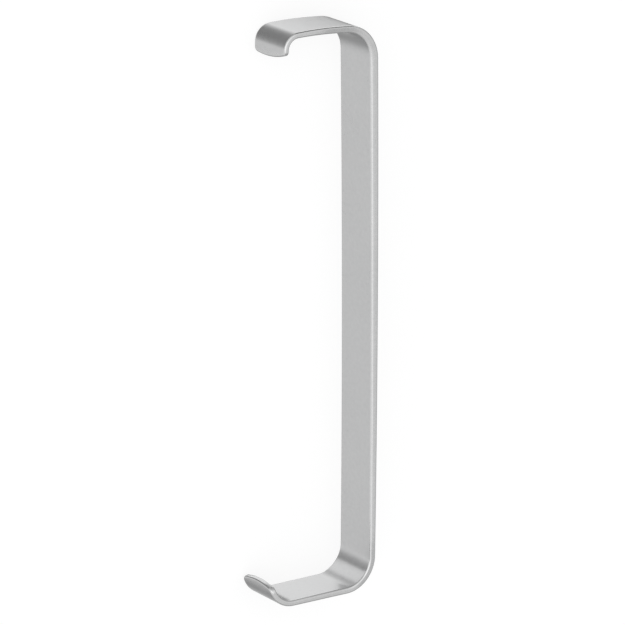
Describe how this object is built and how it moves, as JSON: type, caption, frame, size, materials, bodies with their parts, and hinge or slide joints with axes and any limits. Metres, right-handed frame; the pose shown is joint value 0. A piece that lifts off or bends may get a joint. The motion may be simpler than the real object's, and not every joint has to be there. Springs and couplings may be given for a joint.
{
  "type": "double-ended handheld surgical retractor",
  "caption": "Flat steel band bent into a C, with a right-angled blade at either end whose lip hooks inward, for holding back the edges of a wound by hand.",
  "frame": {"origin": "middle of the band's footprint, on the plane it rests on", "axes": "+Y along the shank toward the wide-bend end, -X the way both blades point, +Z the width of the band"},
  "size_m": [0.033, 0.15, 0.0134],
  "materials": {
    "satin_steel": "satin-polished stainless steel with brighter softened edges"
  },
  "bodies": {
    "root": {"retractor_body": "satin_steel"}
  },
  "joints": []
}
